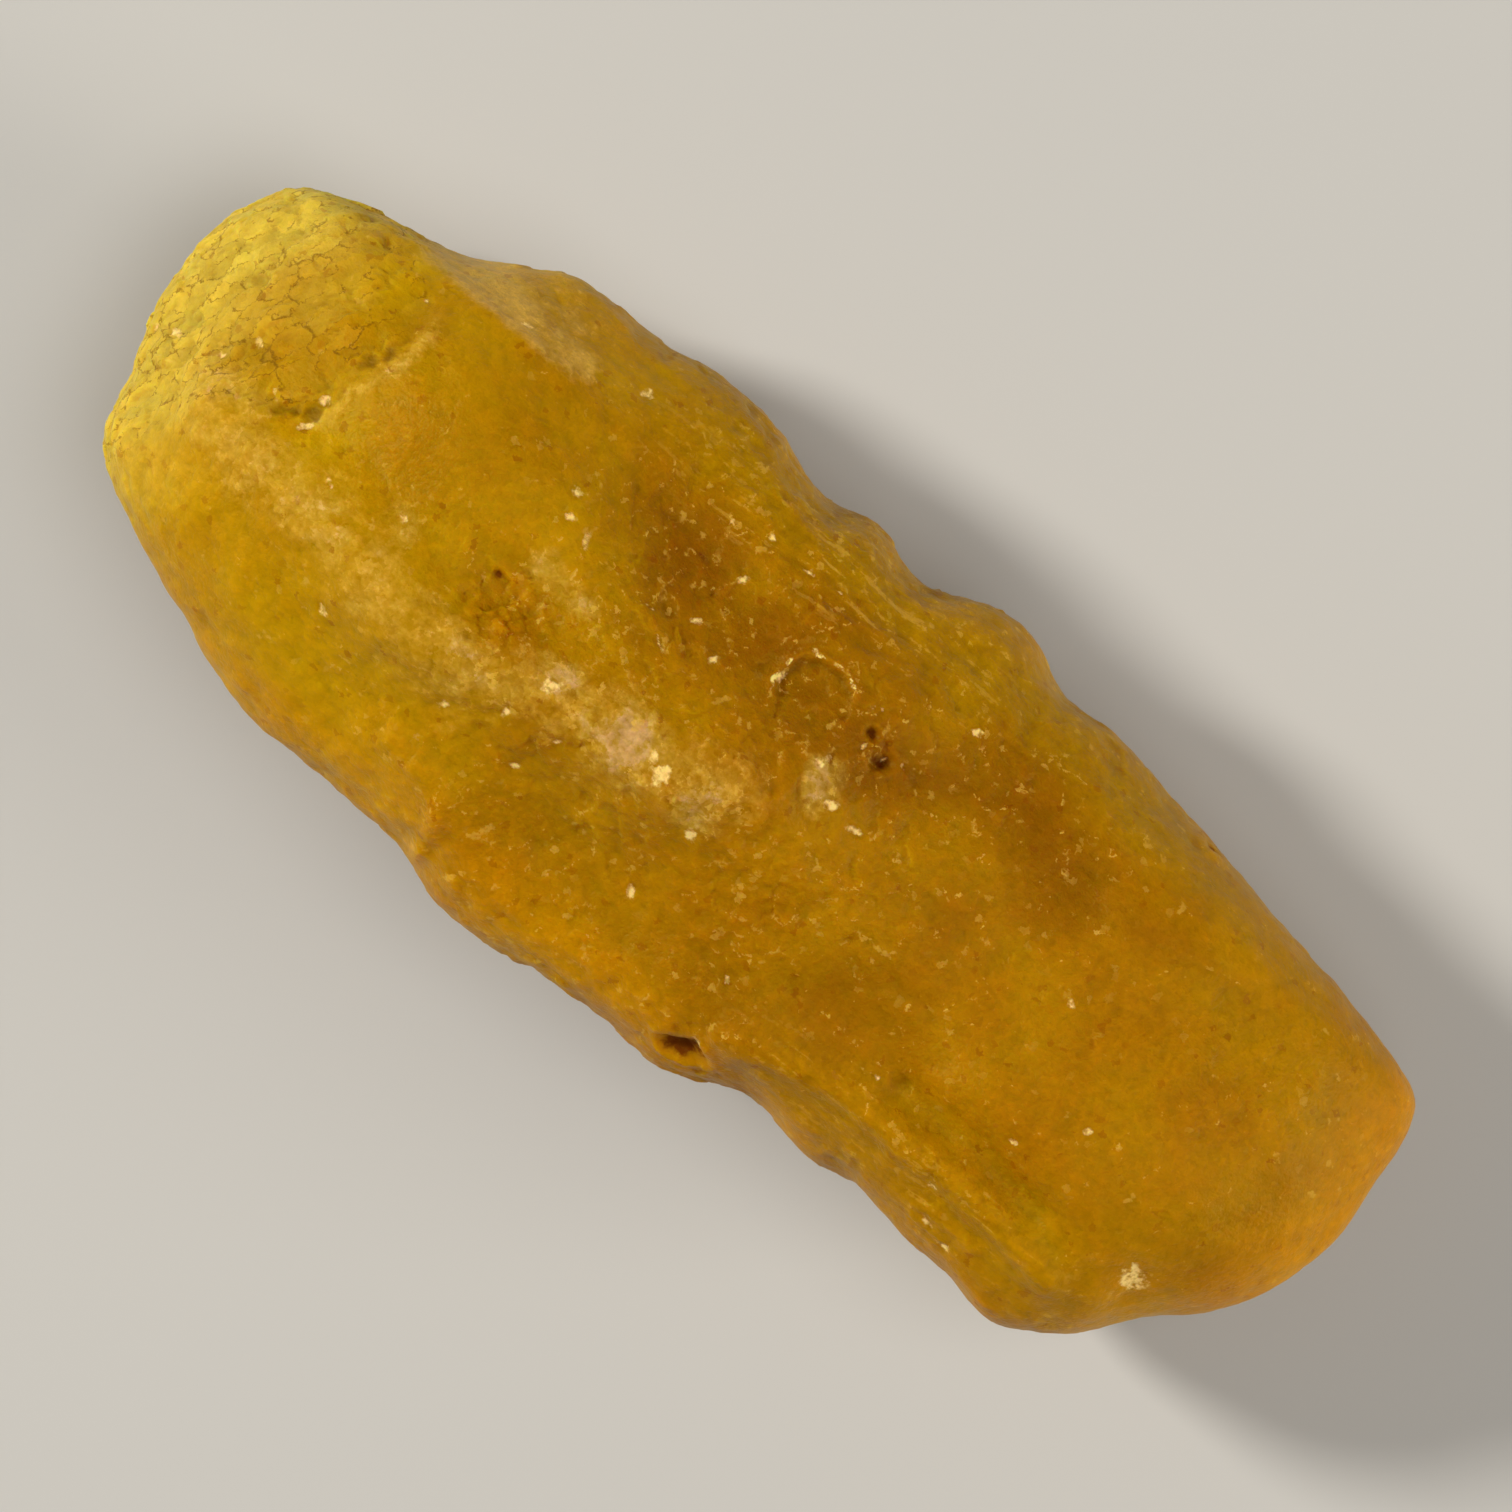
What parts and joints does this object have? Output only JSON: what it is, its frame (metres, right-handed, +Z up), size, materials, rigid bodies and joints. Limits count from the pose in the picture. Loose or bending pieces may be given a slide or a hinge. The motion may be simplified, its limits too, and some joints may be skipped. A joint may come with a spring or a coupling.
{
  "type": "raw amber",
  "caption": "Elongated lump of raw cloudy amber with a crazed broken end, a rounded crest, pits and hollows, lying on its worn back.",
  "frame": {"origin": "bottom centre of the bounding box, level with the flat worn face that the lump rests on", "axes": "+X along the length towards the smooth blunt end, +Y across the width towards the notched edge, +Z up out of the weathered face"},
  "size_m": [0.063, 0.0248, 0.0178],
  "materials": {
    "amber": "cloudy honey-yellow amber, satin and waxy, with a duller crazed broken end, pale chips and brown pits"
  },
  "bodies": {
    "root": {"amber": "amber"}
  },
  "joints": []
}
